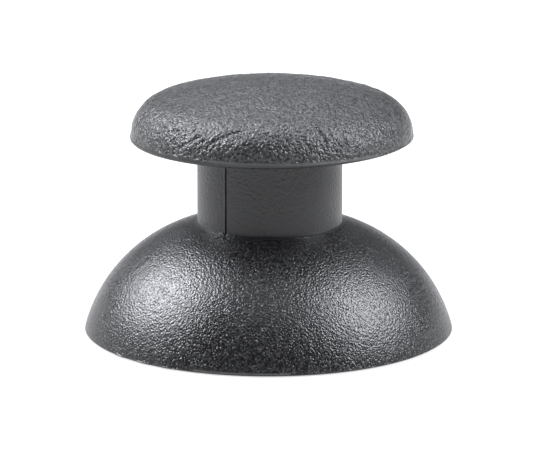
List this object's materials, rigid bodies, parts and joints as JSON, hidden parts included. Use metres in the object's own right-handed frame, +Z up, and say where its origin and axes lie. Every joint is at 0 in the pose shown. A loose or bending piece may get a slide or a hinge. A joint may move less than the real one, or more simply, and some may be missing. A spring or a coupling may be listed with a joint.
{
  "type": "thumbstick cap",
  "caption": "Thumbstick cap: crowned textured head on a short neck over a hollow domed skirt, with a double-D socket stem inside.",
  "frame": {"origin": "on the cap's axis, in the plane of the dome's rim, which is the lowest face", "axes": "+Z up the axis from the rim to the crown; the flats of the socket lie along X"},
  "size_m": [0.0254, 0.0254, 0.0175],
  "materials": {
    "cap_plastic": "dark grey ABS, spark-eroded satin grain on the dome, coarse leather grain on the head"
  },
  "bodies": {
    "root": {"thumbstick_cap": "cap_plastic"}
  },
  "joints": []
}
